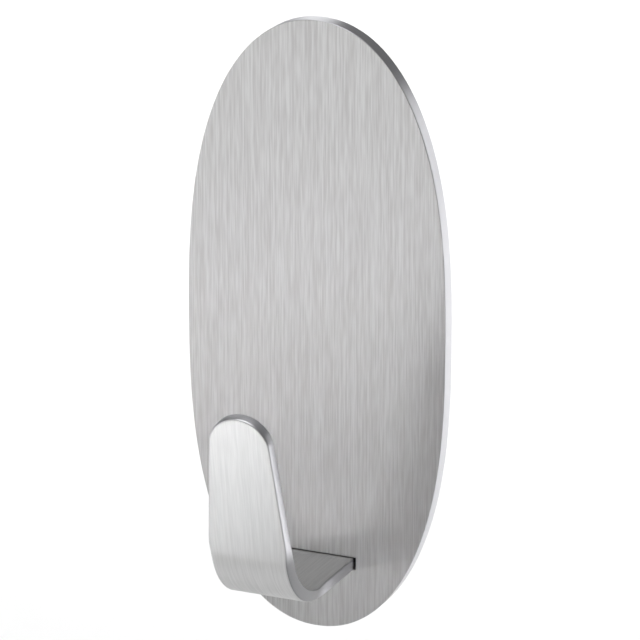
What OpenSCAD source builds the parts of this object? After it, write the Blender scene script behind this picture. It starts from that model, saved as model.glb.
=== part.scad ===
// Self-adhesive wall hook: an oval face plate with a bent strap hook in its slot.
// X runs across the plate, Z runs up, and the wall is the plane Y = 0, with the hook towards -Y.
// The origin is on the wall plane behind the middle of the plate.

/* [Face plate] */
// Height of the oval plate
plate_h = 75; // [60:1:110]
// Width of the oval plate
plate_w = 33; // [28:0.5:60]
// Thickness of the plate
plate_t = 2; // [1.2:0.1:3]
// Power of the oval's curve across the plate, where 2 is an ellipse
oval_power_x = 2.1; // [2:0.1:3]
// Power of the oval's curve along the plate, where 2 is an ellipse
oval_power_z = 2.6; // [2:0.1:4]

/* [Hook strap] */
// Width of the strap, up to the end of the bend
strap_w = 10; // [8:0.5:12]
// Thickness of the strap
strap_t = 1.5; // [1:0.1:2.5]
// Height of the shelf's top above the foot of the plate
shelf_rise = 9.4; // [8:0.1:20]
// Straight length of the shelf, from the plate's face to the bend
shelf_len = 9.6; // [4:0.1:20]
// Inside radius of the bend
bend_r = 8.5; // [3:0.1:15]
// Lean of the upright away from the plate, in degrees
upright_lean = 9.25; // [0:0.25:25]
// Length of the upright, from the end of the bend to the tip of the nose
upright_len = 17.4; // [12:0.1:30]
// Height above the bend at which the upright starts to taper
taper_from = 0.5; // [0.2:0.1:4]
// Radius of the round nose
nose_r = 3.85; // [2:0.05:4]
// Height of the tail behind the plate, from the underside of the strap
tail_h = 18; // [12:0.5:24]
// Size of the cut across each top corner of the tail
tail_corner = 1.5; // [0.5:0.1:3]

/* [Slot] */
// Gap between the strap and each end of the slot
slot_end_gap = 0.35; // [0.2:0.05:1]
// Gap between the top of the strap and the top of the slot
slot_head_gap = 0.2; // [0.2:0.05:1]

/* [Welds] */
// Diameter of each spot weld
weld_d = 4; // [2:0.1:6]
// Depth of each weld in the plate, and in the tail
weld_depth = 0.6; // [0.2:0.05:0.8]
// Distance between the centres of the two welds
weld_pitch = 7; // [6:0.1:9]
// Diameter of the mark that the electrode leaves on the tail
mark_d = 5; // [3:0.1:6]
// Depth of that mark
mark_depth = 0.1; // [0.05:0.01:0.2]

/* [Adhesive pad] */
// Distance from the edge of the plate to the edge of the pad
pad_inset = 2; // [1:0.1:4]
// Thickness of each coat of adhesive
coat_t = 0.1; // [0.05:0.01:0.3]
// Depth of air between the tail and the liner
tail_air = 0.3; // [0.1:0.05:1]
// Gap round the tail in the pad's window
window_gap = 0.6; // [0.2:0.1:1.5]
// Thickness of the release liner
liner_t = 0.1; // [0.05:0.01:0.3]
// Lip of the liner past the edge of the pad
liner_lip = 0.5; // [0:0.1:1]

/* [Hidden] */
$fn = 96;
oval_points = 144;
nose_steps = 36;
bend_steps = 32;
overrun = 1;
turn = 360;
right_angle = 90;

// Layers from the wall forwards: liner, coat, foam, coat, plate
wall_coat_y = -liner_t;
foam_y = wall_coat_y - coat_t;
plate_back_y = wall_coat_y - strap_t - tail_air;
plate_coat_y = plate_back_y + coat_t;
foam_t = foam_y - plate_coat_y;
plate_front_y = plate_back_y - plate_t;

// Heights of the strap in its slot
shelf_z = shelf_rise - plate_h / 2;
strap_under_z = shelf_z - strap_t;
slot_w = strap_w + 2 * slot_end_gap;
slot_h = strap_t + slot_head_gap;

// The tail bends round the top edge of the slot
tail_bend_r = slot_head_gap;
tail_foot_z = shelf_z + tail_bend_r;
tail_top_z = strap_under_z + tail_h;
weld_mid_z = (tail_foot_z + tail_top_z) / 2;

// The bend's centre, in Y and Z
bend_y = plate_front_y - shelf_len;
bend_z = shelf_z + bend_r;

// The upright's sides run from the strap's full width to a tangent of the nose
nose_centre_h = upright_len - nose_r;
taper_h = nose_centre_h - taper_from;
taper = atan2(strap_w / 2, taper_h) - asin(nose_r / norm([strap_w / 2, taper_h]));

function signed_power(v, p) = sign(v) * pow(abs(v), p);

// Points of an arc of radius r about centre, from one angle to another
function arc(centre, r, from, to, steps) = [
    for (i = [0 : steps])
        let (t = from + i * (to - from) / steps)
        [centre.x + r * cos(t), centre.y + r * sin(t)]
];

// Points of the oval |x/a|^oval_power_x + |z/b|^oval_power_z = 1, drawn in by inset all round
function oval(inset) = [
    for (i = [0 : oval_points - 1])
        let (t = i * turn / oval_points)
        [(plate_w / 2 - inset) * signed_power(cos(t), 2 / oval_power_x),
         (plate_h / 2 - inset) * signed_power(sin(t), 2 / oval_power_z)]
];

// A flat outline in X and Z, made thickness deep from back_y towards the front
module sheet(back_y, thickness) {
    translate([0, back_y, 0])
        rotate([right_angle, 0, 0])
            linear_extrude(thickness)
                children();
}

// The window's outline round the tail, with the tail's cut corners
module window_outline() {
    half_w = strap_w / 2 + window_gap;
    low_z = strap_under_z - window_gap;
    top_z = tail_top_z + window_gap;
    polygon([
        [-half_w, low_z],
        [half_w, low_z],
        [half_w, top_z - tail_corner],
        [half_w - tail_corner, top_z],
        [tail_corner - half_w, top_z],
        [-half_w, top_z - tail_corner]
    ]);
}

// The strap's edge seen from the side, in Y and Z: side is 0 on the inside of the bends and 1 on the outside
function strap_edge(side) =
    let (
        offset_t = side * strap_t,
        lean = [-sin(upright_lean), cos(upright_lean)],
        bend_end = 2 * right_angle + upright_lean,
        bend = arc([bend_y, bend_z], bend_r + offset_t, 3 * right_angle, bend_end, bend_steps),
        tail_bend = arc([plate_back_y - tail_bend_r, tail_foot_z], tail_bend_r + offset_t,
            0, -right_angle, bend_steps)
    )
    concat(
        [[plate_back_y + offset_t, tail_top_z]],
        tail_bend,
        bend,
        [bend[bend_steps] + (upright_len + overrun) * lean]
    );

function reversed(list) = [for (i = [len(list) - 1 : -1 : 0]) list[i]];

// The bent strip at its full width, longer than the upright
module bent_strip() {
    rotate([right_angle, 0, right_angle])
        linear_extrude(strap_w, center = true)
            polygon(concat(strap_edge(0), reversed(strap_edge(1))));
}

// Places its children at both weld centres, looking along Y
module at_welds(back_y) {
    for (side = [-1, 1])
        translate([0, back_y, weld_mid_z + side * weld_pitch / 2])
            rotate([right_angle, 0, 0])
                children();
}

// The two welds, each a disc that lies half in the tail and half in the plate
module welds() {
    at_welds(plate_back_y + weld_depth)
        cylinder(d = weld_d, h = 2 * weld_depth);
}

module slot_cut() {
    translate([-slot_w / 2, plate_front_y - overrun, strap_under_z])
        cube([slot_w, plate_t + 2 * overrun, slot_h]);
}

// The upright's tapered outline with its round nose, from the end of the bend up
module upright_outline() {
    foot_x = strap_w / 2 + taper_from * tan(taper);
    nose = arc([0, nose_centre_h], nose_r, taper, turn / 2 - taper, nose_steps);
    polygon(concat([[-foot_x, 0], [foot_x, 0]], nose));
}

// What is cut from the strip beside and above the upright
module upright_cut() {
    half_w = strap_w / 2 + overrun;
    translate([0, bend_y, bend_z])
        rotate([upright_lean, 0, 0])
            sheet(overrun - bend_r, strap_t + 2 * overrun)
                difference() {
                    translate([-half_w, 0])
                        square([2 * half_w, upright_len + 2 * overrun]);
                    upright_outline();
                }
}

// What is cut from the tail's top corners
module tail_corner_cuts() {
    leg = tail_corner + 2 * overrun;
    for (side = [-1, 1])
        translate([side * (strap_w / 2 + overrun), 0, tail_top_z + overrun])
            sheet(plate_back_y + strap_t + overrun, strap_t + 2 * overrun)
                polygon([[0, 0], [-side * leg, 0], [0, -leg]]);
}

// One layer of the pad: the oval with a window that clears the tail
module pad_layer(back_y, thickness) {
    sheet(back_y, thickness)
        difference() {
            polygon(oval(pad_inset));
            window_outline();
        }
}

module face_plate() {
    color("silver")
        difference() {
            sheet(plate_back_y, plate_t)
                polygon(oval(0));
            slot_cut();
            welds();
        }
}

module hook_strap() {
    color("gainsboro")
        difference() {
            bent_strip();
            upright_cut();
            tail_corner_cuts();
            welds();
            at_welds(plate_back_y + strap_t + overrun)
                cylinder(d = mark_d, h = mark_depth + overrun);
        }
}

module weld_nuggets() {
    color("dimgray")
        welds();
}

module plate_adhesive() {
    color("ivory")
        pad_layer(plate_coat_y, coat_t);
}

module foam_pad() {
    color("white")
        pad_layer(foam_y, foam_t);
}

module wall_adhesive() {
    color("ivory")
        pad_layer(wall_coat_y, coat_t);
}

module release_liner() {
    color("firebrick")
        sheet(0, liner_t)
            polygon(oval(pad_inset - liner_lip));
}

face_plate();
hook_strap();
weld_nuggets();
plate_adhesive();
foam_pad();
wall_adhesive();
release_liner();
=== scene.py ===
"""Self-adhesive wall hook in brushed stainless steel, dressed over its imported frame.

X runs across the plate, Z runs up, and the wall is the plane Y = 0, with the hook towards -Y.
All lengths are in metres. Each visible piece is a surface worked out on a grid of two parameters.
"""

import math

import bpy
import numpy as np
from bpy.props import FloatProperty, FloatVectorProperty, PointerProperty
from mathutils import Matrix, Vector


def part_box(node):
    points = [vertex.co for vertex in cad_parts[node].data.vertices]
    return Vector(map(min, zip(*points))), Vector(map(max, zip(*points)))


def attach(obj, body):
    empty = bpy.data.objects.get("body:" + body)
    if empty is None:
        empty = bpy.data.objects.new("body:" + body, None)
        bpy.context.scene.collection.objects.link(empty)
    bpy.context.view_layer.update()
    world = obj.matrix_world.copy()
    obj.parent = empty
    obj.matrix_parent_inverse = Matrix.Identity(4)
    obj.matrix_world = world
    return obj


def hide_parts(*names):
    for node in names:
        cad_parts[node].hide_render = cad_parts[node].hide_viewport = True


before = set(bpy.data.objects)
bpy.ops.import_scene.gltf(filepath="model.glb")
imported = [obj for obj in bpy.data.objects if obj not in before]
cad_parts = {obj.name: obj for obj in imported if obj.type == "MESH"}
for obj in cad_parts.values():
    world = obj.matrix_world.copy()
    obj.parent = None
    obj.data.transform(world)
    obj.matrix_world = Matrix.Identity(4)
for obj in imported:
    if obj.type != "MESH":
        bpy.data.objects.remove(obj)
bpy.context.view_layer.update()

bl_info = {
    "name": "Adhesive Wall Hook",
    "version": (1, 0, 0),
    "blender": (4, 5, 0),
    "location": "View3D > Sidebar > Wall Hook",
    "description": "Builds a stick-on steel wall hook and its studio stage over a packed frame",
    "category": "Add Mesh",
}

MM = 0.001
# The UV map that lies along the brush lines, and the values that mark heat and the bend, where the edge has
# painted shade
BRUSH_MAP = "brush"
HEAT_MAP = "weld_heat"
BEND_SHADE_MAP = "bend_painted_shade"

# Lowest and highest corner of each node in the frame
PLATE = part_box("face_plate")
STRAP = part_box("hook_strap")
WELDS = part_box("weld_nuggets")
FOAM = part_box("foam_pad")
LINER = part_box("release_liner")


def linear(hex_colour):
    """Turns an sRGB hex colour into linear red, green and blue."""
    coded = np.array([int(hex_colour[i:i + 2], 16) for i in (1, 3, 5)]) / 255
    low = coded / 12.92
    high = ((coded + 0.055) / 1.055) ** 2.4
    return tuple(np.where(coded <= 0.04045, low, high).tolist())


def length(name, description, default):
    """A size that a user may change, shown in the scene's own unit of length."""
    return FloatProperty(name=name, description=description, default=default, min=0, precision=5,
                         subtype="DISTANCE", unit="LENGTH")


def angle(name, description, degrees):
    """An angle that a user may change, shown in degrees."""
    return FloatProperty(name=name, description=description, default=math.radians(degrees),
                         subtype="ANGLE", unit="ROTATION")


def colour(name, description, hex_colour):
    """A colour that a user may change, given as sRGB hex and held as linear."""
    return FloatVectorProperty(name=name, description=description, default=linear(hex_colour),
                               size=3, min=0, max=1, subtype="COLOR")


class PlateSettings(bpy.types.PropertyGroup):
    """Shape of the oval face plate and of its slot"""

    power_x: FloatProperty(name="Power across", default=2.1, min=2, max=3,
                           description="Power of the oval's curve across the plate, where 2 is an ellipse")
    power_z: FloatProperty(name="Power along", default=2.6, min=2, max=4,
                           description="Power of the oval's curve along the plate, where 2 is an ellipse")
    front_round: length("Front round", "Radius of the round along the front edge", 0.09 * MM)
    back_round: length("Back round", "Radius of the round along the back edge", 0.12 * MM)
    slot_round: length("Slot round", "Radius of the round along the slot's edges", 0.05 * MM)
    slot_end_gap: length("Slot end gap", "Gap between the strap and each end of the slot", 0.2 * MM)
    slot_head_gap: length("Slot head gap", "Gap between the strap's top and the slot's top", 0.07 * MM)


class StrapSettings(bpy.types.PropertyGroup):
    """Shape of the bent strap, from the tail's top to the nose"""

    shelf_len: length("Shelf length", "Straight length from the plate's face to the bend", 9.6 * MM)
    bend_r: length("Bend radius", "Inside radius of the bend", 8.5 * MM)
    lean: angle("Lean", "Lean of the upright away from the plate", 9.25)
    upright_len: length("Upright length", "Length from the end of the bend to the tip", 17.4 * MM)
    taper_from: length("Taper from", "Height above the bend where the taper starts", 0.5 * MM)
    nose_r: length("Nose radius", "Radius of the round nose", 3.85 * MM)
    tail_h: length("Tail height", "Height of the tail from the strap's underside", 18 * MM)
    tail_corner: length("Tail corner", "Size of the cut across each top corner of the tail", 1.5 * MM)
    tail_bend_r: length("Tail bend radius", "Inside radius of the bend behind the slot", 0.14 * MM)
    edge_round: length("Edge round", "Radius of the round along the strap's edges", 0.18 * MM)
    edge_crown: length("Edge crown", "How far the strap's side stands out at mid thickness", 0.03 * MM)
    edge_bulge: FloatProperty(name="Edge bulge", default=0.5, min=0, max=1, subtype="FACTOR",
                              description="Share of the bend's strain that changes the strap's width")
    mark_d: length("Mark diameter", "Diameter of the mark that the electrode leaves", 5 * MM)
    mark_depth: length("Mark depth", "Depth of that mark", 0.1 * MM)


class PadSettings(bpy.types.PropertyGroup):
    """Shape of the foam pad and the release film behind the plate"""

    window_gap: length("Window gap", "Gap round the tail in the pad's window", 0.6 * MM)
    cut_bow: length("Cut bow", "How far the die-cut edge draws in at mid thickness", 0.16 * MM)
    cut_round: length("Cut round", "Radius of the round along the pad's edges", 0.08 * MM)
    film_dip: length("Film dip", "How far the film sinks over the window", 0.03 * MM)


class FinishSettings(bpy.types.PropertyGroup):
    """Colours and roughness of the finishes"""

    plate_light: colour("Plate, light", "Crest of the plate's brush lines", "#D8D8D8")
    plate_dark: colour("Plate, dark", "Trough of the plate's brush lines", "#C7C6C6")
    strap_light: colour("Strap, light", "Crest of the strap's brush lines", "#D8D8D8")
    strap_dark: colour("Strap, dark", "Trough of the strap's brush lines", "#D0D0D0")
    cut_edge: colour("Cut edge", "Ground edge of the sheet", "#DCDCE0")
    # Painted shade: the bend's edge takes this darker colour, standing for the dark reflection that it shows
    bend_edge_painted_shade: colour("Bend edge", "Edge of the sheet where the bend has dulled it", "#949496")
    weld: colour("Weld", "Fused metal of the spot welds", "#7A7672")
    heat: colour("Heat tint", "Straw tint round the spot welds", "#B79A5E")
    adhesive: colour("Adhesive", "Acrylic adhesive coat", "#EFEBDD")
    foam: colour("Foam", "Polyethylene foam", "#F0F0EE")
    film: colour("Film", "Release film", "#A92A24")
    floor: colour("Floor", "Studio floor", "#F4F4F4")
    sky: colour("Surround", "Light from all round the studio", "#FFFFFF")
    plate_roughness: FloatProperty(name="Plate roughness", default=0.5, min=0.05, max=1, subtype="FACTOR",
                                   description="How far the plate's brush lines spread a reflection")
    strap_roughness: FloatProperty(name="Strap roughness", default=0.5, min=0.05, max=1, subtype="FACTOR",
                                   description="How far the strap's brush lines spread a reflection")


class StageSettings(bpy.types.PropertyGroup):
    """Camera, floor and lights"""

    azimuth: angle("Azimuth", "How far round to the right the camera stands", 23.8188)
    elevation: angle("Elevation", "How far above the hook the camera looks from", 18.471)
    distance: length("Distance", "Distance from the camera to the point it looks at", 570.71 * MM)
    lens: FloatProperty(name="Lens", description="Focal length in millimetres on a 36 mm frame",
                        default=272.97, min=1, unit="CAMERA")
    aim_right: length("Aim right", "How far right of the plate's middle the camera looks", 0.51 * MM)
    aim_up: length("Aim up", "How far above the plate's middle the camera looks", 1.067 * MM)
    floor_drop: length("Floor drop", "Depth of the floor below the wall hook's middle", 0.4)
    floor_size: length("Floor size", "Side of the floor", 12.0)
    surround: FloatProperty(name="Surround strength", default=0.15, min=0,
                            description="Strength of the light from all round")
    power: FloatProperty(name="Light strength", default=1.0, min=0,
                         description="Scales every soft light alike")


class WallHookSettings(bpy.types.PropertyGroup):
    """All settings of the wall hook"""

    plate: PointerProperty(name="Plate", description="Shape of the face plate", type=PlateSettings)
    strap: PointerProperty(name="Strap", description="Shape of the hook strap", type=StrapSettings)
    pad: PointerProperty(name="Pad", description="Shape of the foam pad and its film", type=PadSettings)
    finish: PointerProperty(name="Finish", description="Colours and roughness", type=FinishSettings)
    stage: PointerProperty(name="Stage", description="Camera, floor and lights", type=StageSettings)


# Checks and meshes

def need(holds, words):
    """Stops the operator that runs with these words unless the condition holds."""
    if not holds:
        raise RuntimeError(words)


def grid_faces(index, close_rows=False, close_columns=False):
    """Quads between neighbours of a grid of vertex numbers, wrapped round where a side is closed."""
    if close_rows:
        index = np.concatenate([index, index[:1]])
    if close_columns:
        index = np.concatenate([index, index[:, :1]], axis=1)
    corners = (index[:-1, :-1], index[1:, :-1], index[1:, 1:], index[:-1, 1:])
    return np.stack(corners, axis=-1).reshape(-1, 4)


def signed_volume(points, faces):
    """Volume of a closed mesh, positive if its faces look outwards: a sixth of the sum of a . (b x c)."""
    triangles = np.concatenate([faces[:, (0, 1, 2)], faces[:, (0, 2, 3)]])
    a, b, c = (points[triangles[:, k]] for k in range(3))
    return float(np.sum(a * np.cross(b, c)) / 6)


def make_piece(name, points, faces, finishes, finish_of_face=None, brush=None, marks=None):
    """Makes an object at the origin from an array of points and one of quads.

    A quad whose first and last corner are one vertex is a triangle at a pole. brush gives each vertex its
    place across and along the brush lines, and marks names other values that the finishes read.
    """
    need(signed_volume(points, faces) > 0, f"{name}: its faces look inwards")
    mesh = bpy.data.meshes.new(name)
    pole = faces[:, 0] == faces[:, 3]
    order = np.concatenate([np.flatnonzero(~pole), np.flatnonzero(pole)])
    mesh.from_pydata(points.tolist(), [], faces[~pole].tolist() + faces[pole][:, :3].tolist())
    for finish in finishes:
        mesh.materials.append(finish)
    if finish_of_face is not None:
        mesh.polygons.foreach_set("material_index", finish_of_face[order].astype(np.int32))
    mesh.polygons.foreach_set("use_smooth", np.ones(len(faces), bool))
    if brush is not None:
        corner = np.empty(len(mesh.loops), np.int32)
        mesh.loops.foreach_get("vertex_index", corner)
        layer = mesh.uv_layers.new(name=BRUSH_MAP)
        layer.uv.foreach_set("vector", brush[corner].astype(np.float32).ravel())
    for key, values in (marks or {}).items():
        layer = mesh.attributes.new(key, "FLOAT", "POINT")
        layer.data.foreach_set("value", values.astype(np.float32))
    need(not mesh.validate(), f"{name}: its mesh had faults")
    piece = bpy.data.objects.new(name, mesh)
    bpy.context.scene.collection.objects.link(piece)
    return piece


# Outlines

# Steps in each quarter round, and width of the narrow ring beside it
ROUND_STEPS = 6
SUPPORT = 0.04 * MM
# How often the search along a ray halves its span
HALVINGS = 60
# Share of a step within which an even ray gives way to a corner's
NEAR_RAY_SHARE = 0.1


def quarter(radius):
    """A quarter round as pairs of inset and depth, from the face (inset radius) to the side (depth radius).

    Each pair is radius * (1 - sin t) and radius * (1 - cos t), with t from 0 to a right angle.
    """
    t = np.linspace(0, math.pi / 2, ROUND_STEPS + 1)
    return np.stack([radius * (1 - np.sin(t)), radius * (1 - np.cos(t))], axis=1)


def side_normals(loop):
    """Unit outward normal of each side of a closed anticlockwise loop: its direction, a quarter turn back."""
    side = np.roll(loop, -1, axis=0) - loop
    side = side / np.linalg.norm(side, axis=1, keepdims=True)
    return np.stack([side[:, 1], -side[:, 0]], axis=1)


def mitres(loop):
    """Outward mitre at each point of a closed anticlockwise loop, so that every side moves out by one unit.

    With the unit normals m and n of the sides before and after a point, it is (m + n) / (1 + m . n).
    """
    after = side_normals(loop)
    before = np.roll(after, 1, axis=0)
    return (before + after) / (1 + np.sum(before * after, axis=1, keepdims=True))


def ray_angles(corners, count):
    """Evenly spaced directions round a circle, with the direction of each given corner added.

    An even direction that lies within a small share of a step from a corner's is left out.
    """
    step = 2 * math.pi / count
    even = np.arange(count) * step
    exact = np.mod(np.arctan2(corners[:, 1], corners[:, 0]), 2 * math.pi)
    apart = np.abs(even[:, None] - exact[None, :]).min(axis=1) > NEAR_RAY_SHARE * step
    return np.sort(np.concatenate([even[apart], exact]))


def oval_loop(angles, centre_z, half_w, half_h, plate):
    """Points of the oval |x/a|^p + |z/b|^q = 1 along rays from (0, centre_z).

    The sum grows steadily along a ray, so its crossing of 1 is found by halving the span again and again.
    """
    ray = np.stack([np.cos(angles), np.sin(angles)], axis=1)
    low = np.zeros_like(angles)
    high = np.full_like(angles, 2 * (half_w + half_h))
    for _ in range(HALVINGS):
        middle = (low + high) / 2
        x = middle * ray[:, 0] / half_w
        z = (centre_z + middle * ray[:, 1]) / half_h
        outside = np.abs(x) ** plate.power_x + np.abs(z) ** plate.power_z > 1
        high = np.where(outside, middle, high)
        low = np.where(outside, low, middle)
    return ray * low[:, None] + (0, centre_z)


def polygon_loop(angles, centre_z, corners):
    """Points of a convex polygon about (0, centre_z) along rays from there.

    A ray u leaves through the side whose d / (n . u) is least, with n the side's normal and d its distance.
    """
    ray = np.stack([np.cos(angles), np.sin(angles)], axis=1)
    normal = side_normals(corners)
    away = np.sum(normal * corners, axis=1)
    facing = ray @ normal.T
    reach = np.where(facing > 0, away / np.where(facing > 0, facing, 1), np.inf).min(axis=1)
    return ray * reach[:, None] + (0, centre_z)


def holed_sheet(hole, outline, rings, front_y):
    """A flat sheet with one hole as a closed tube: each ring is a loop between the hole and the outline.

    A ring holds its share of the way out, how far the hole is widened, how far the outline is drawn in, and
    its depth behind the front. Its points are (1 - share) * widened hole + share * drawn-in outline.
    """
    share, widen, inset, depth = (rings[:, k, None, None] for k in range(4))
    inner = hole + widen * mitres(hole)
    outer = outline - inset * mitres(outline)
    flat = (1 - share) * inner + share * outer
    y = np.broadcast_to(front_y + depth, flat.shape[:2] + (1,))
    points = np.concatenate([flat[..., :1], y, flat[..., 1:]], axis=2)
    index = np.arange(len(rings) * len(outline)).reshape(len(rings), len(outline))
    return points.reshape(-1, 3), grid_faces(index, close_rows=True, close_columns=True)


def sheet_rings(thickness, hole_round, front_round, back_round, face_steps):
    """Rings of a sheet's section, from the hole's front round, out over the face, down the rim and back.

    A narrow ring beside each round keeps the flats flat when the mesh is shaded smooth.
    """
    def ring(share, widen, inset, depth):
        """Rings with these values, where one number serves all of them."""
        parts = np.broadcast_arrays(*np.atleast_1d(share, widen, inset, depth))
        return np.stack(parts, axis=1).astype(float)

    shares = np.linspace(0, 1, face_steps + 1)
    hole = quarter(hole_round)
    front = quarter(front_round)
    back = quarter(back_round)
    return np.concatenate([
        ring(0, hole[::-1, 0], 0, hole[::-1, 1]),
        ring(shares, hole_round + SUPPORT, front_round + SUPPORT, 0),
        ring(1, 0, front[:, 0], front[:, 1]),
        ring(1, 0, 0, np.array([front_round + SUPPORT, thickness - back_round - SUPPORT])),
        ring(1, 0, back[::-1, 0], thickness - back[::-1, 1]),
        ring(shares[::-1], hole_round + SUPPORT, back_round + SUPPORT, thickness),
        ring(0, hole[:, 0], 0, thickness - hole[:, 1]),
        ring(0, 0, 0, np.array([thickness - hole_round - SUPPORT, hole_round + SUPPORT])),
    ])


# Face plate

# Rays round the plate, and steps across its face
PLATE_RAYS = 1440
PLATE_FACE_STEPS = 8
# Depth at which the ground rim starts, as a share of the front round
RIM_FROM_SHARE = 0.25
# The strap's thickness and half its width, from the frame
STRAP_T = STRAP[1].y - PLATE[1].y
STRAP_HALF_W = STRAP[1].x


def slot_corners(plate):
    """Corners of the slot about its own middle, anticlockwise from the lower right."""
    half_w = STRAP_HALF_W + plate.slot_end_gap
    half_h = (STRAP_T + plate.slot_head_gap) / 2
    return np.array([(half_w, -half_h), (half_w, half_h), (-half_w, half_h), (-half_w, -half_h)])


def face_plate_surface(plate):
    """The oval plate: rings from the slot to the oval, rounded at every edge, as one closed tube.

    It also tells which quads are the ground rim, which starts at a share of the front round's depth.
    """
    thickness = PLATE[1].y - PLATE[0].y
    need(plate.front_round + plate.back_round < thickness, "the plate's rounds meet")
    corners = slot_corners(plate)
    slot_z = STRAP[0].z + corners[1, 1]
    angles = ray_angles(corners, PLATE_RAYS)
    slot = polygon_loop(angles, slot_z, corners)
    outline = oval_loop(angles, slot_z, PLATE[1].x, PLATE[1].z, plate)
    rings = sheet_rings(thickness, plate.slot_round, plate.front_round, plate.back_round, PLATE_FACE_STEPS)
    points, faces = holed_sheet(slot, outline, rings, PLATE[0].y)
    rim = (rings[:, 0] == 1) & (rings[:, 3] > RIM_FROM_SHARE * plate.front_round)
    return points, faces, np.repeat(rim & np.roll(rim, -1), len(outline))


# Hook strap

# Rows along each stretch of the strap, columns across it, and steps down its side
TAIL_ROWS = 96
TAIL_CORNER_ROWS = 6
TAIL_BEND_ROWS = 16
SHELF_ROWS = 24
BEND_ROWS = 64
UPRIGHT_ROWS = 48
NOSE_ROWS = 28
STRAP_COLUMNS = 56
FLANK_STEPS = 8
# How far round the nose its side goes before its end begins
NOSE_SHOULDER = math.radians(52)
# Length over which the bulge fades at each end of the bend
BULGE_FADE = 3 * MM
# Width of a mark's soft edge and reach of its heat tint, as shares of its diameter
MARK_EDGE_SHARE = 0.12
HEAT_REACH_SHARE = 0.6
# How far the strap's front may lie from the frame's
REACH_SLACK = 0.05 * MM


def strap_path(strap):
    """The strap's mid line in Y and Z as runs and turns: start, straight lengths, radii and turning angles.

    It goes down the tail, turns forwards under the slot's top, runs along the shelf, turns up and rises.
    """
    tail_bend_r = strap.tail_bend_r + STRAP_T / 2
    bend_r = strap.bend_r + STRAP_T / 2
    tail_top = STRAP[0].z + strap.tail_h
    tail_foot = STRAP[0].z + STRAP_T + strap.tail_bend_r
    start = np.array([PLATE[1].y + STRAP_T / 2, tail_top])
    shelf = strap.shelf_len + (PLATE[1].y - PLATE[0].y) - strap.tail_bend_r
    runs = np.array([tail_top - tail_foot, shelf, strap.upright_len])
    turns = np.array([math.pi / 2, math.pi / 2 - strap.lean])
    return start, runs, np.array([tail_bend_r, bend_r]), turns


def strap_stations(path):
    """Lengths along the mid line at which the strap changes: each run's end and each turn's end."""
    _, runs, radii, turns = path
    bends = radii * turns
    return np.cumsum([runs[0], bends[0], runs[1], bends[1], runs[2]])


def on_strap(path, across, along, inwards):
    """Points of the bent strap for a place across it, along it and inwards from its mid surface.

    A run moves along the heading (-sin t, -cos t), and a turn of radius r from angle t to u moves by
    r * (n(t) - n(u)), with n(t) = (-cos t, sin t) pointing to the inside of the bends.
    """
    start, _, radii, turns = path
    ends = np.concatenate([[0], strap_stations(path)])
    parts = [np.clip(along - low, 0, high - low) for low, high in zip(ends[:-1], ends[1:])]
    first = parts[1] / radii[0]
    second = turns[0] + parts[3] / radii[1]

    def heading(t):
        """Direction along the strap after a turn of t."""
        return np.stack([-np.sin(t), -np.cos(t)], axis=-1)

    def normal(t):
        """Direction to the inside of the bends after a turn of t."""
        return np.stack([-np.cos(t), np.sin(t)], axis=-1)

    zero = np.zeros_like(along)
    place = start + parts[0][..., None] * heading(zero)
    place = place + radii[0] * (normal(zero) - normal(first))
    place = place + parts[2][..., None] * heading(zero + turns[0])
    place = place + radii[1] * (normal(zero + turns[0]) - normal(second))
    place = place + parts[4][..., None] * heading(zero + turns.sum())
    turned = first + second - turns[0]
    place = place + inwards[..., None] * normal(turned)
    return np.concatenate([across[..., None], place], axis=-1)


def strap_outline(strap, stations):
    """Right side of the flat strap, as pairs of half width and length, and the round end of its nose.

    The sides run straight from the tail's cut corners to the taper, and the taper meets the nose's circle at
    a tangent. The end is the part of that circle above the shoulder angle, from left to right.
    """
    foot, tip = stations[3], stations[4]
    centre = tip - strap.nose_r
    rise = centre - foot - strap.taper_from
    slope = math.atan2(STRAP_HALF_W, rise) - math.asin(strap.nose_r / math.hypot(STRAP_HALF_W, rise))
    tangent = centre + strap.nose_r * math.sin(slope)
    half_top = strap.nose_r * math.cos(slope)
    stops = np.concatenate([
        np.linspace(0, strap.tail_corner, TAIL_CORNER_ROWS, endpoint=False),
        np.linspace(strap.tail_corner, stations[0], TAIL_ROWS, endpoint=False),
        np.linspace(stations[0], stations[1], TAIL_BEND_ROWS, endpoint=False),
        np.linspace(stations[1], stations[2], SHELF_ROWS, endpoint=False),
        np.linspace(stations[2], stations[3], BEND_ROWS, endpoint=False),
        [foot],
        np.linspace(foot + strap.taper_from, tangent, UPRIGHT_ROWS, endpoint=False),
    ])
    bends_at = np.array([0, strap.tail_corner, foot + strap.taper_from, tangent])
    widths = np.array([STRAP_HALF_W - strap.tail_corner, STRAP_HALF_W, STRAP_HALF_W, half_top])
    nose = np.linspace(slope, NOSE_SHOULDER, NOSE_ROWS)
    side_w = np.concatenate([np.interp(stops, bends_at, widths), strap.nose_r * np.cos(nose)])
    side_s = np.concatenate([stops, centre + strap.nose_r * np.sin(nose)])
    end = np.linspace(math.pi - NOSE_SHOULDER, NOSE_SHOULDER, STRAP_COLUMNS + 1)
    end = np.stack([strap.nose_r * np.cos(end), centre + strap.nose_r * np.sin(end)], axis=1)
    return np.stack([side_w, side_s], axis=1), end


def strap_boundary(side, end):
    """The flat strap's whole outline as one anticlockwise loop: tail end, right side, nose, left side."""
    left = side * (-1, 1)
    shares = np.linspace(0, 1, STRAP_COLUMNS + 1)[:, None]
    tail = left[0] + shares * (side[0] - left[0])
    return np.concatenate([tail[:-1], side[:-1], end[::-1][:-1], left[::-1][:-1]])


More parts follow.
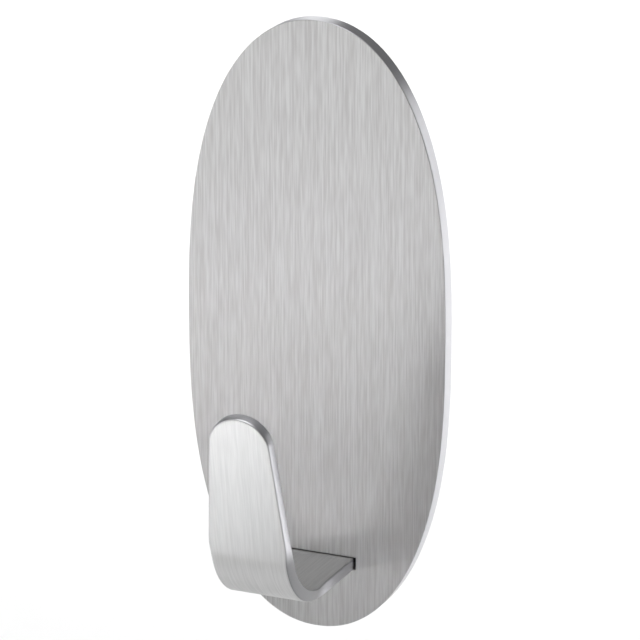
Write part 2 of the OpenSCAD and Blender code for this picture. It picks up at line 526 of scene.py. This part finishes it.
def strap_grid(loop, rows):
    """Fills an outline of the flat strap with rows between its left and right sides.

    A row is the straight line between its two ends, plus a share of the nose's bow that grows from none at
    the nose's foot to all of it at the last row.
    """
    columns = STRAP_COLUMNS
    corners = np.cumsum([0, columns, rows - 1, columns])
    right = loop[corners[1]:corners[2] + 1]
    end = loop[corners[2]:corners[3] + 1][::-1]
    left = np.concatenate([loop[corners[3]:], loop[:1]])[::-1]
    shares = np.linspace(0, 1, columns + 1)[None, :, None]
    bow = end - (end[0] + shares[0] * (end[-1] - end[0]))
    growth = np.clip((np.arange(rows) - (rows - NOSE_ROWS)) / (NOSE_ROWS - 1), 0, 1) ** 2
    return left[:, None] + shares * (right - left)[:, None] + growth[:, None, None] * bow[None]


def boundary_numbers(index):
    """Vertex numbers round a grid's edge, in the order of strap_boundary."""
    return np.concatenate([index[0, :-1], index[:-1, -1], index[-1, :0:-1], index[:0:-1, 0]])


def smooth_step(x):
    """Rises from 0 to 1 as x goes from 0 to 1, level at both ends: x * x * (3 - 2 x)."""
    x = np.clip(x, 0, 1)
    return x * x * (3 - 2 * x)


def weld_distance(across, along, tail_top):
    """Distance on the flat strap from the nearer of the two spot welds."""
    radius = WELDS[1].x
    centres = tail_top - np.array([WELDS[0].z + radius, WELDS[1].z - radius])
    return np.min([np.hypot(across, along - centre) for centre in centres], axis=0)


def in_bend(path, along):
    """1 in the wide bend and 0 away from it, with a smooth step at each end."""
    stations = strap_stations(path)
    fade_in = smooth_step((along - stations[2]) / BULGE_FADE + 0.5)
    fade_out = smooth_step((stations[3] - along) / BULGE_FADE + 0.5)
    return fade_in * fade_out


def strap_edge_profile(strap):
    """Section of the strap's edge from its inner face to its outer one, as pairs of inset and height.

    The height is measured inwards from mid thickness. Two quarter rounds join a crowned side, which draws in
    by the square of the height.
    """
    half_t = STRAP_T / 2
    need(strap.edge_round + SUPPORT < half_t, "the strap's rounds meet")
    round_off = quarter(strap.edge_round)
    upper = np.stack([round_off[:, 0], half_t - round_off[:, 1]], axis=1)
    flank = half_t - strap.edge_round - SUPPORT
    sides = np.stack([np.zeros(FLANK_STEPS + 1), np.linspace(flank, -flank, FLANK_STEPS + 1)], axis=1)
    profile = np.concatenate([upper, sides, (upper * (1, -1))[::-1]])
    profile[:, 0] += strap.edge_crown * (profile[:, 1] / half_t) ** 2
    return profile


def strap_faces(face_shape, band_shape):
    """Quads of the strap's inner face, outer face and edge band, and whether each is on the cut edge.

    The cut edge lies between the middles of the band's two rounds.
    """
    face_count = math.prod(face_shape)
    band_count = math.prod(band_shape)
    inner = np.arange(face_count).reshape(face_shape)
    ring = face_count + np.arange(band_count).reshape(band_shape)
    outer = face_count + band_count + inner
    rings = np.concatenate([boundary_numbers(inner)[None], ring, boundary_numbers(outer)[None]])
    band = grid_faces(rings, close_columns=True)[:, ::-1]
    faces = np.concatenate([grid_faces(inner), grid_faces(outer)[:, ::-1], band])
    on_ring = np.repeat(np.arange(len(rings) - 1), rings.shape[1])
    shoulder = 1 + ROUND_STEPS // 2
    cut = np.zeros(len(faces), bool)
    cut[-len(band):] = (on_ring >= shoulder) & (on_ring < len(rings) - 1 - shoulder)
    return faces, cut


def hook_strap_surface(strap):
    """The strap: a grid on its inner face, a rounded band round its outline and a grid on its outer face.

    In the bend the strain is the distance inwards over the bend's mid radius. The width grows by a share of
    it, so the inside bulges and the outside draws in. The outer face has a dent over each weld.
    """
    path = strap_path(strap)
    side, end = strap_outline(strap, strap_stations(path))
    outline = strap_boundary(side, end)
    outward = mitres(outline)
    profile = strap_edge_profile(strap)
    band = outline - profile[:, :1, None] * outward
    band_in = np.broadcast_to(profile[:, 1:], band.shape[:2])
    face = strap_grid(outline - (strap.edge_crown + strap.edge_round + SUPPORT) * outward, len(side))
    face_in = np.full(face.shape[:2], STRAP_T / 2)
    tail_top = STRAP[0].z + strap.tail_h
    from_weld = weld_distance(face[..., 0], face[..., 1], tail_top)
    mark_edge = MARK_EDGE_SHARE * strap.mark_d
    dent = strap.mark_depth * smooth_step((strap.mark_d / 2 - from_weld) / mark_edge)

    flat = np.concatenate([face.reshape(-1, 2), band.reshape(-1, 2), face.reshape(-1, 2)])
    inwards = np.concatenate([face_in.ravel(), band_in.ravel(), (dent - face_in).ravel()])
    bent = in_bend(path, flat[:, 1])
    strain = bent * inwards / path[2][1]
    across = flat[:, 0] * (1 + strap.edge_bulge * strain)
    points = on_strap(path, across, flat[:, 1], inwards)
    need(abs(points[:, 1].min() - STRAP[0].y) < REACH_SLACK, "the strap's reach isn't the frame's")

    faces, cut = strap_faces(face_in.shape, band_in.shape)
    behind = np.arange(len(flat)) >= len(flat) - face_in.size
    heat_reach = HEAT_REACH_SHARE * strap.mark_d
    warmth = np.exp(-((weld_distance(flat[:, 0], flat[:, 1], tail_top) / heat_reach) ** 4))
    # The bend's share also masks the painted shade on the bent edge
    return points, faces, cut, flat, {HEAT_MAP: behind * warmth, BEND_SHADE_MAP: bent}


# Foam pad and release film

# Rays round the pad and the film, steps across the pad's face and down its sides, and rings in the film
PAD_RAYS = 960
PAD_FACE_STEPS = 4
PAD_SIDE_STEPS = 8
FILM_RINGS = 48
# Depth and pitch of the film's ripple
FILM_RIPPLE = 0.006 * MM
FILM_RIPPLE_PITCH = 17 * MM


def window_corners(strap, pad):
    """Corners of the pad's window about its own middle, anticlockwise from the lower right."""
    half_w = STRAP_HALF_W + pad.window_gap
    half_h = strap.tail_h / 2 + pad.window_gap
    cut = strap.tail_corner
    right = np.array([(half_w, -half_h), (half_w, half_h - cut), (half_w - cut, half_h)])
    return np.concatenate([right, (right * (-1, 1))[::-1]])


def foam_pad_surface(plate, strap, pad):
    """The pad: the oval sheet with a window, whose cut sides bow in by a sine between their rounds."""
    thickness = FOAM[1].y - FOAM[0].y
    corners = window_corners(strap, pad)
    middle_z = STRAP[0].z + strap.tail_h / 2
    angles = ray_angles(corners, PAD_RAYS)
    window = polygon_loop(angles, middle_z, corners)
    outline = oval_loop(angles, middle_z, FOAM[1].x, FOAM[1].z, plate)
    rings = sheet_rings(thickness, pad.cut_round, pad.cut_round, pad.cut_round, PAD_FACE_STEPS)
    # The two long steps, down the rim and up the window's wall, are divided so that they can bow
    rings = np.concatenate([rings, rings[:1]])
    steps = np.where(np.abs(np.diff(rings[:, 3])) > thickness / 2, PAD_SIDE_STEPS, 1)
    at = np.repeat(np.arange(len(steps)), steps)
    share = np.concatenate([np.arange(n) / n for n in steps])[:, None]
    rings = rings[at] + share * (rings[at + 1] - rings[at])
    bow = pad.cut_bow * np.sin(math.pi * rings[:, 3] / thickness)
    rings[:, 2] += np.where(rings[:, 0] == 1, bow, 0)
    rings[:, 1] += np.where(rings[:, 0] == 0, bow, 0)
    return holed_sheet(window, outline, rings, FOAM[0].y)


def liner_film_surface(plate, strap, pad):
    """The film: two discs of rings from a pole to the oval, the back one sunk over the pad's window.

    The back also has a slow ripple, a product of two cosines across and along the film.
    """
    angles = ray_angles(np.array([(1.0, 0.0)]), PAD_RAYS)
    outline = oval_loop(angles, 0, LINER[1].x, LINER[1].z, plate)
    shares = np.arange(1, FILM_RINGS + 1) / FILM_RINGS
    flat = shares[:, None, None] * outline[None]
    corners = window_corners(strap, pad) + (0, STRAP[0].z + strap.tail_h / 2)
    normal = side_normals(corners)

    def sunk(places):
        """Depth of the back: the ripple, plus a dip that grows by a smooth step from the window's edge."""
        inside = np.min(np.sum(normal * corners, axis=1) - places @ normal.T, axis=-1)
        wave = np.cos(2 * math.pi * places / FILM_RIPPLE_PITCH)
        ripple = FILM_RIPPLE * (1 + wave[..., 0] * wave[..., 1]) / 2
        return ripple + pad.film_dip * smooth_step(inside / (2 * pad.window_gap))

    disc = np.concatenate([np.zeros((1, 2)), flat.reshape(-1, 2)])
    front = np.stack([disc[:, 0], np.full(len(disc), LINER[0].y), disc[:, 1]], axis=1)
    back = np.stack([disc[:, 0], LINER[1].y - sunk(disc), disc[:, 1]], axis=1)
    index = 1 + np.arange(len(disc) - 1).reshape(len(shares), len(outline))
    hub = np.zeros_like(index[0])
    fan = np.stack([hub, index[0], np.roll(index[0], -1), hub], axis=1)
    disc_faces = np.concatenate([fan, grid_faces(index, close_columns=True)])
    rim = grid_faces(np.stack([index[-1], index[-1] + len(disc)]), close_columns=True)
    faces = np.concatenate([disc_faces, disc_faces[:, ::-1] + len(disc), rim])
    return np.concatenate([front, back]), faces


# Finishes

# Brushing: width and length of the streaks in each layer, and the layer's share over those before it
BRUSH_LAYERS = ((0.18 * MM, 3 * MM, 1), (0.19 * MM, 8 * MM, 0.5), (0.26 * MM, 20 * MM, 0.3))
# Brushing: how far apart the layers are taken from the noise, the span of the noise that is used, how far
# the roughness swings each way, and the depth of the lines
BRUSH_LAYER_STEP = 100
BRUSH_TROUGH = 0.33
BRUSH_CREST = 0.67
BRUSH_ROUGHNESS_SWING = 0.015
BRUSH_RELIEF = 0.01 * MM
# Widths and depths of the other patterns, and how dark their troughs are as a share of the colour
EDGE_GRAIN = 0.8 * MM
WELD_MOTTLE = 0.5 * MM
WELD_SHADE = 0.7
ADHESIVE_RIPPLE = 1.2 * MM
ADHESIVE_RELIEF = 0.05 * MM
ADHESIVE_SHADE = 0.86
FOAM_CELL = 0.25 * MM
FOAM_RELIEF = 0.08 * MM
# The foam's share darkens the cells' hollows: painted shade in the pits
FOAM_PIT_SHADE = 0.82
FILM_HAZE = 6 * MM
FILM_SHADE = 0.9
PAPER_CLOUD = 500 * MM
PAPER_SHADE = 0.99


def add_node(tree, kind, settings=None, inputs=None):
    """Adds a node, sets its properties, and gives each named input a value or a link from a socket."""
    made = tree.nodes.new(kind)
    for key, value in (settings or {}).items():
        setattr(made, key, value)
    for key, value in (inputs or {}).items():
        if isinstance(value, bpy.types.NodeSocket):
            tree.links.new(value, made.inputs[key])
        else:
            made.inputs[key].default_value = value
    return made


def new_finish(name):
    """An empty material with this name, and its node tree."""
    material = bpy.data.materials.new(name)
    material.use_nodes = True
    material.node_tree.nodes.clear()
    return material, material.node_tree


def solid(rgb, shade=1):
    """A share of a colour, with full opacity, as a colour socket takes it."""
    return (*(shade * part for part in rgb), 1)


def brushed_stainless(name, light, dark, roughness, heat=None):
    """Stainless sheet, brushed with an abrasive belt.

    To the eye it is a soft grey mirror whose highlights spread across the brush lines, with fine straight
    streaks along them. Real scratches are about 0.03 mm wide, so the finer streaks here are drawn about six
    times as wide to show at all. heat is the tint that a spot weld leaves.
    """
    material, tree = new_finish(name)
    place = add_node(tree, "ShaderNodeUVMap", {"uv_map": BRUSH_MAP})
    height = 0
    for layer, (wide, long, share) in enumerate(BRUSH_LAYERS):
        scaled = add_node(tree, "ShaderNodeMapping", None, {
            "Vector": place.outputs["UV"], "Location": (0, BRUSH_LAYER_STEP * layer, 0),
            "Scale": (1 / wide, 1 / long, 1)})
        streaks = add_node(tree, "ShaderNodeTexNoise", {"noise_dimensions": "2D"},
                           {"Vector": scaled.outputs["Vector"], "Scale": 1, "Detail": 0})
        mixed = add_node(tree, "ShaderNodeMix", {"data_type": "FLOAT"},
                         {"Factor": share, "A": height, "B": streaks.outputs["Fac"]})
        height = mixed.outputs["Result"]
    span = {"Value": height, "From Min": BRUSH_TROUGH, "From Max": BRUSH_CREST}
    tone = add_node(tree, "ShaderNodeMapRange", None, span)
    steel = add_node(tree, "ShaderNodeMix", {"data_type": "RGBA"},
                     {"Factor": tone.outputs["Result"], "A": solid(dark), "B": solid(light)})
    if heat is not None:
        warmth = add_node(tree, "ShaderNodeAttribute", {"attribute_name": HEAT_MAP})
        steel = add_node(tree, "ShaderNodeMix", {"data_type": "RGBA"},
                         {"Factor": warmth.outputs["Fac"], "A": steel.outputs["Result"], "B": solid(heat)})
    rough = add_node(tree, "ShaderNodeMapRange", None, {
        **span, "To Min": roughness + BRUSH_ROUGHNESS_SWING, "To Max": roughness - BRUSH_ROUGHNESS_SWING})
    relief = add_node(tree, "ShaderNodeBump", None,
                      {"Strength": 0.1, "Distance": BRUSH_RELIEF, "Height": height})
    lines = add_node(tree, "ShaderNodeTangent", {"direction_type": "UV_MAP", "uv_map": BRUSH_MAP})
    shader = add_node(tree, "ShaderNodeBsdfPrincipled", None, {
        "Base Color": steel.outputs["Result"], "Metallic": 1,
        "Roughness": rough.outputs["Result"], "Anisotropic": 0.75,
        "Normal": relief.outputs["Normal"], "Tangent": lines.outputs["Tangent"]})
    add_node(tree, "ShaderNodeOutputMaterial", None, {"Surface": shader.outputs["BSDF"]})
    return material


def ground_edge(name, rgb, bent=None):
    """Cut edge of stainless sheet, ground smooth. It is brighter and cleaner than the brushed faces.

    Through the bend it takes the darker colour bent, which is painted shade: it stands for the dark
    reflection that the bent edge shows. Real grinding marks are too fine to show, so they are drawn as
    patches 0.8 mm wide.
    """
    material, tree = new_finish(name)
    place = add_node(tree, "ShaderNodeTexCoord")
    grain = add_node(tree, "ShaderNodeTexNoise", None,
                     {"Vector": place.outputs["Object"], "Scale": 1 / EDGE_GRAIN, "Detail": 3})
    rough = add_node(tree, "ShaderNodeMapRange", None,
                     {"Value": grain.outputs["Fac"], "From Min": 0.3, "From Max": 0.7,
                      "To Min": 0.3, "To Max": 0.34})
    shader = add_node(tree, "ShaderNodeBsdfPrincipled", None, {
        "Base Color": solid(rgb), "Metallic": 1, "Roughness": rough.outputs["Result"]})
    if bent is not None:
        # Painted shade: through the bend the edge is darkened to the colour bent
        painted_bend_shade = add_node(tree, "ShaderNodeAttribute", {"attribute_name": BEND_SHADE_MAP})
        steel = add_node(tree, "ShaderNodeMix", {"data_type": "RGBA"},
                         {"Factor": painted_bend_shade.outputs["Fac"], "A": solid(rgb), "B": solid(bent)})
        tree.links.new(steel.outputs["Result"], shader.inputs["Base Color"])
    add_node(tree, "ShaderNodeOutputMaterial", None, {"Surface": shader.outputs["BSDF"]})
    return material


def fused_steel(name, rgb):
    """Stainless steel that a spot weld has melted and set. It is dull, dark and faintly mottled."""
    material, tree = new_finish(name)
    place = add_node(tree, "ShaderNodeTexCoord")
    mottle = add_node(tree, "ShaderNodeTexNoise", None,
                      {"Vector": place.outputs["Object"], "Scale": 1 / WELD_MOTTLE, "Detail": 3})
    rough = add_node(tree, "ShaderNodeMapRange", None,
                     {"Value": mottle.outputs["Fac"], "To Min": 0.4, "To Max": 0.65})
    shade = add_node(tree, "ShaderNodeMix", {"data_type": "RGBA"}, {
        "Factor": mottle.outputs["Fac"], "A": solid(rgb, WELD_SHADE), "B": solid(rgb)})
    shader = add_node(tree, "ShaderNodeBsdfPrincipled", None, {
        "Base Color": shade.outputs["Result"], "Metallic": 1, "Roughness": rough.outputs["Result"]})
    add_node(tree, "ShaderNodeOutputMaterial", None, {"Surface": shader.outputs["BSDF"]})
    return material


def acrylic_adhesive(name, rgb):
    """Acrylic adhesive, coated wet and dried. It is a pale tacky gloss with a soft orange-peel ripple.

    The coat is thinner in the ripple's troughs, so it is a little darker and less glossy there.
    """
    material, tree = new_finish(name)
    place = add_node(tree, "ShaderNodeTexCoord")
    ripple = add_node(tree, "ShaderNodeTexNoise", None,
                      {"Vector": place.outputs["Object"], "Scale": 1 / ADHESIVE_RIPPLE, "Detail": 2})
    rough = add_node(tree, "ShaderNodeMapRange", None,
                     {"Value": ripple.outputs["Fac"], "From Min": 0.3, "From Max": 0.7,
                      "To Min": 0.28, "To Max": 0.18})
    shade = add_node(tree, "ShaderNodeMix", {"data_type": "RGBA"}, {
        "Factor": ripple.outputs["Fac"], "A": solid(rgb, ADHESIVE_SHADE), "B": solid(rgb)})
    relief = add_node(tree, "ShaderNodeBump", None,
                      {"Strength": 0.4, "Distance": ADHESIVE_RELIEF, "Height": ripple.outputs["Fac"]})
    shader = add_node(tree, "ShaderNodeBsdfPrincipled", None, {
        "Base Color": shade.outputs["Result"], "Roughness": rough.outputs["Result"], "IOR": 1.47,
        "Normal": relief.outputs["Normal"]})
    add_node(tree, "ShaderNodeOutputMaterial", None, {"Surface": shader.outputs["BSDF"]})
    return material


def polyethylene_foam(name, rgb):
    """Cross-linked polyethylene foam, die cut. It is white and matt, with fine open cells on its cut edge."""
    material, tree = new_finish(name)
    place = add_node(tree, "ShaderNodeTexCoord")
    cells = add_node(tree, "ShaderNodeTexVoronoi", None,
                     {"Vector": place.outputs["Object"], "Scale": 1 / FOAM_CELL})
    relief = add_node(tree, "ShaderNodeBump", None,
                      {"Strength": 0.6, "Distance": FOAM_RELIEF, "Height": cells.outputs["Distance"]})
    # Painted shade: the hollows of the cells, the low points of the relief, are painted darker
    shade = add_node(tree, "ShaderNodeMix", {"data_type": "RGBA"}, {
        "Factor": cells.outputs["Distance"], "A": solid(rgb, FOAM_PIT_SHADE), "B": solid(rgb)})
    shader = add_node(tree, "ShaderNodeBsdfPrincipled", None, {
        "Base Color": shade.outputs["Result"], "Roughness": 0.75, "IOR": 1.5,
        "Normal": relief.outputs["Normal"]})
    add_node(tree, "ShaderNodeOutputMaterial", None, {"Surface": shader.outputs["BSDF"]})
    return material


def release_film(name, rgb):
    """Polyethylene film, cast and coated to release. It is a smooth satin red with faint haze."""
    material, tree = new_finish(name)
    place = add_node(tree, "ShaderNodeTexCoord")
    haze = add_node(tree, "ShaderNodeTexNoise", None,
                    {"Vector": place.outputs["Object"], "Scale": 1 / FILM_HAZE, "Detail": 3})
    rough = add_node(tree, "ShaderNodeMapRange", None,
                     {"Value": haze.outputs["Fac"], "From Min": 0.3, "From Max": 0.7,
                      "To Min": 0.28, "To Max": 0.4})
    shade = add_node(tree, "ShaderNodeMix", {"data_type": "RGBA"}, {
        "Factor": haze.outputs["Fac"], "A": solid(rgb, FILM_SHADE), "B": solid(rgb)})
    shader = add_node(tree, "ShaderNodeBsdfPrincipled", None, {
        "Base Color": shade.outputs["Result"], "Roughness": rough.outputs["Result"], "IOR": 1.51})
    add_node(tree, "ShaderNodeOutputMaterial", None, {"Surface": shader.outputs["BSDF"]})
    return material


def studio_paper(name, rgb):
    """Seamless studio paper. It is matt and nearly white, with a faint cloudiness."""
    material, tree = new_finish(name)
    place = add_node(tree, "ShaderNodeTexCoord")
    cloud = add_node(tree, "ShaderNodeTexNoise", None,
                     {"Vector": place.outputs["Object"], "Scale": 1 / PAPER_CLOUD})
    shade = add_node(tree, "ShaderNodeMix", {"data_type": "RGBA"}, {
        "Factor": cloud.outputs["Fac"], "A": solid(rgb, PAPER_SHADE), "B": solid(rgb)})
    shader = add_node(tree, "ShaderNodeBsdfPrincipled", None,
                      {"Base Color": shade.outputs["Result"], "Roughness": 0.9, "Specular IOR Level": 0.1})
    add_node(tree, "ShaderNodeOutputMaterial", None, {"Surface": shader.outputs["BSDF"]})
    return material


def dress(node, finish):
    """Gives a node carried over from the CAD one finish in place of its own."""
    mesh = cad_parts[node].data
    mesh.materials.clear()
    mesh.materials.append(finish)


# Operators

class WALL_HOOK_OT_face_plate(bpy.types.Operator):
    """Make the oval face plate with its slot"""

    bl_idname = "wall_hook.face_plate"
    bl_label = "Face plate"

    def execute(self, context):
        hook = context.scene.wall_hook
        points, faces, on_rim = face_plate_surface(hook.plate)
        finishes = [
            brushed_stainless("stainless_plate_brushed", hook.finish.plate_light, hook.finish.plate_dark,
                              hook.finish.plate_roughness),
            ground_edge("stainless_plate_edge_ground", hook.finish.cut_edge),
        ]
        piece = make_piece("face_plate_oval", points, faces, finishes, on_rim, points[:, (0, 2)])
        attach(piece, "hook")
        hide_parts("face_plate")
        return {"FINISHED"}


class WALL_HOOK_OT_hook_strap(bpy.types.Operator):
    """Make the bent strap, from the tail behind the plate to the nose"""

    bl_idname = "wall_hook.hook_strap"
    bl_label = "Hook strap"

    def execute(self, context):
        hook = context.scene.wall_hook
        points, faces, cut, flat, marks = hook_strap_surface(hook.strap)
        finishes = [
            brushed_stainless("stainless_strap_brushed", hook.finish.strap_light, hook.finish.strap_dark,
                              hook.finish.strap_roughness, hook.finish.heat),
            ground_edge("stainless_strap_edge_ground", hook.finish.cut_edge, hook.finish.bend_edge_painted_shade),
        ]
        piece = make_piece("hook_strap_bent", points, faces, finishes, cut, flat, marks)
        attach(piece, "hook")
        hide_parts("hook_strap")
        return {"FINISHED"}


class WALL_HOOK_OT_spot_welds(bpy.types.Operator):
    """Finish the two spot welds between the tail and the plate"""

    bl_idname = "wall_hook.spot_welds"
    bl_label = "Spot welds"

    def execute(self, context):
        dress("weld_nuggets", fused_steel("stainless_spot_weld_fused", context.scene.wall_hook.finish.weld))
        return {"FINISHED"}


class WALL_HOOK_OT_foam_pad(bpy.types.Operator):
    """Make the foam pad with its window, and finish its two coats of adhesive"""

    bl_idname = "wall_hook.foam_pad"
    bl_label = "Foam pad"

    def execute(self, context):
        hook = context.scene.wall_hook
        points, faces = foam_pad_surface(hook.plate, hook.strap, hook.pad)
        piece = make_piece("foam_pad_die_cut", points, faces,
                           [polyethylene_foam("polyethylene_foam_die_cut", hook.finish.foam)])
        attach(piece, "hook")
        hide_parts("foam_pad")
        coat = acrylic_adhesive("acrylic_adhesive_coated", hook.finish.adhesive)
        for node in ("plate_adhesive", "wall_adhesive"):
            dress(node, coat)
        return {"FINISHED"}


class WALL_HOOK_OT_release_liner(bpy.types.Operator):
    """Make the release film over the wall side of the pad"""

    bl_idname = "wall_hook.release_liner"
    bl_label = "Release liner"

    def execute(self, context):
        hook = context.scene.wall_hook
        points, faces = liner_film_surface(hook.plate, hook.strap, hook.pad)
        piece = make_piece("release_liner_film", points, faces,
                           [release_film("polyethylene_release_film_cast", hook.finish.film)])
        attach(piece, "liner")
        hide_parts("release_liner")
        return {"FINISHED"}


# Width of the camera's frame in millimetres, and the nearest and furthest that it sees
FRAME_W = 36
NEAR_CLIP = 0.01
FAR_CLIP = 100
# Each soft light: its name, place, the point it faces, width, height, spread in degrees and watts.
# A small spread stands for a honeycomb grid, which keeps the light on one part of the hook.
SOFT_LIGHTS = (
    ("overhead_bank", (0, 0, 2.6), (0, 0, -0.4), 7, 7, 70, 65),
    ("backdrop_bank", (0, 1.9, 2), (0, 1.9, -0.4), 5, 2.6, 50, 32),
    ("key", (-0.17, -0.3, 0.15), (-0.17, 0, 0.15), 0.1, 0.1, 180, 0.3),
    ("plate_high", (-0.26, -0.3, -0.03), (-0.26, 0, -0.03), 0.1, 0.1, 180, 0.22),
    ("plate_grid", (-0.26, -0.3, -0.1), (0, 0, 0.012), 0.06, 0.06, 16, 0.00098),
    ("plate_low_grid", (-0.35, -0.3, -0.12), (-0.002, 0, -0.008), 0.02, 0.02, 7, 0.00028),
    ("plate_right_grid", (0.2, -0.3, -0.1), (0.006, 0, -0.024), 0.02, 0.02, 4, 0.0001),
    ("upright_grid", (-0.26, -0.3, -0.3), (0, -0.024, 0.005), 0.03, 0.03, 6, 0.00072),
    ("under_card", (-0.3, 0, -0.35), (0, 0, -0.02), 0.3, 0.2, 180, 0.22),
    ("rim_high", (0.39, 0.7, 0.06), (0, 0, 0), 0.25, 0.25, 180, 0.23),
    ("rim_low", (0.6, 0.5, -0.25), (0, 0, 0), 0.4, 0.2, 180, 0.14),
    ("top_card", (-0.36, 0.7, 0.24), (0, 0, 0), 0.32, 0.22, 180, 0.32),
)


def view_axes(azimuth, elevation):
    """Right, up and backward directions of a camera that looks from there."""
    right = Vector((math.cos(azimuth), math.sin(azimuth), 0))
    back = Vector((math.sin(azimuth) * math.cos(elevation), -math.cos(azimuth) * math.cos(elevation),
                   math.sin(elevation)))
    return right, back.cross(right), back


def aimed(data, name, place, target):
    """Puts a light or a camera at a place, looking at the target with its top upwards."""
    made = bpy.data.objects.new(name, data)
    made.location = place
    made.rotation_euler = (target - place).to_track_quat("-Z", "Y").to_euler()
    bpy.context.scene.collection.objects.link(made)
    return made


class WALL_HOOK_OT_stage(bpy.types.Operator):
    """Set the camera at the photo's view, the floor, the soft lights and the surround"""

    bl_idname = "wall_hook.stage"
    bl_label = "Stage"

    def execute(self, context):
        hook = context.scene.wall_hook
        stage = hook.stage
        middle = Vector((0, PLATE[0].y, 0))
        right, up, back = view_axes(stage.azimuth, stage.elevation)
        lens = bpy.data.cameras.new("photo_view")
        lens.lens = stage.lens
        lens.sensor_width = FRAME_W
        lens.clip_start = NEAR_CLIP
        lens.clip_end = FAR_CLIP
        aim = middle + stage.aim_right * right + stage.aim_up * up
        context.scene.camera = aimed(lens, "photo_view", aim + stage.distance * back, aim)

        half = stage.floor_size / 2
        sheet = bpy.data.meshes.new("studio_floor")
        corners = np.array([(-half, -half), (half, -half), (half, half), (-half, half)])
        depth = np.full((len(corners), 1), -stage.floor_drop)
        sheet.from_pydata(np.hstack([corners, depth]).tolist(), [], [(0, 1, 2, 3)])
        sheet.materials.append(studio_paper("studio_paper_matt", hook.finish.floor))
        floor = bpy.data.objects.new("studio_floor", sheet)
        context.scene.collection.objects.link(floor)

        for name, place, target, width, height, spread, watts in SOFT_LIGHTS:
            light = bpy.data.lights.new(name, "AREA")
            light.shape = "RECTANGLE"
            light.size = width
            light.size_y = height
            light.spread = math.radians(spread)
            light.energy = watts * stage.power
            aimed(light, name, Vector(place), Vector(target)).visible_camera = False

        world = bpy.data.worlds.new("studio_surround")
        world.use_nodes = True
        context.scene.world = world
        surround = world.node_tree.nodes["Background"]
        surround.inputs["Color"].default_value = solid(hook.finish.sky)
        surround.inputs["Strength"].default_value = stage.surround
        context.scene.view_settings.view_transform = "Standard"
        return {"FINISHED"}


class VIEW3D_PT_wall_hook(bpy.types.Panel):
    """Lists the wall hook's settings and the operators that make it"""

    bl_label = "Wall Hook"
    bl_space_type = "VIEW_3D"
    bl_region_type = "UI"
    bl_category = "Wall Hook"

    def draw(self, context):
        hook = context.scene.wall_hook
        for group, operators in PANEL_ROWS:
            box = self.layout.box()
            settings = getattr(hook, group)
            for key in settings.bl_rna.properties.keys():
                if key not in ("rna_type", "name"):
                    box.prop(settings, key)
            for operator in operators:
                box.operator(operator)


PANEL_ROWS = (
    ("plate", ("wall_hook.face_plate",)),
    ("strap", ("wall_hook.hook_strap", "wall_hook.spot_welds")),
    ("pad", ("wall_hook.foam_pad", "wall_hook.release_liner")),
    ("finish", ()),
    ("stage", ("wall_hook.stage",)),
)
CLASSES = (
    PlateSettings, StrapSettings, PadSettings, FinishSettings, StageSettings, WallHookSettings,
    WALL_HOOK_OT_face_plate, WALL_HOOK_OT_hook_strap, WALL_HOOK_OT_spot_welds, WALL_HOOK_OT_foam_pad,
    WALL_HOOK_OT_release_liner, WALL_HOOK_OT_stage, VIEW3D_PT_wall_hook,
)


def register():
    """Registers the classes and gives every scene the wall hook's settings."""
    for kind in CLASSES:
        bpy.utils.register_class(kind)
    bpy.types.Scene.wall_hook = PointerProperty(
        name="Wall hook", description="All settings of the wall hook", type=WallHookSettings)


def unregister():
    """Takes the settings and the classes away again."""
    del bpy.types.Scene.wall_hook
    for kind in reversed(CLASSES):
        bpy.utils.unregister_class(kind)


def main():
    """Registers the classes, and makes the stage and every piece."""
    register()
    bpy.ops.wall_hook.stage()
    bpy.ops.wall_hook.face_plate()
    bpy.ops.wall_hook.hook_strap()
    bpy.ops.wall_hook.spot_welds()
    bpy.ops.wall_hook.foam_pad()
    bpy.ops.wall_hook.release_liner()


if __name__ == "__main__":
    main()
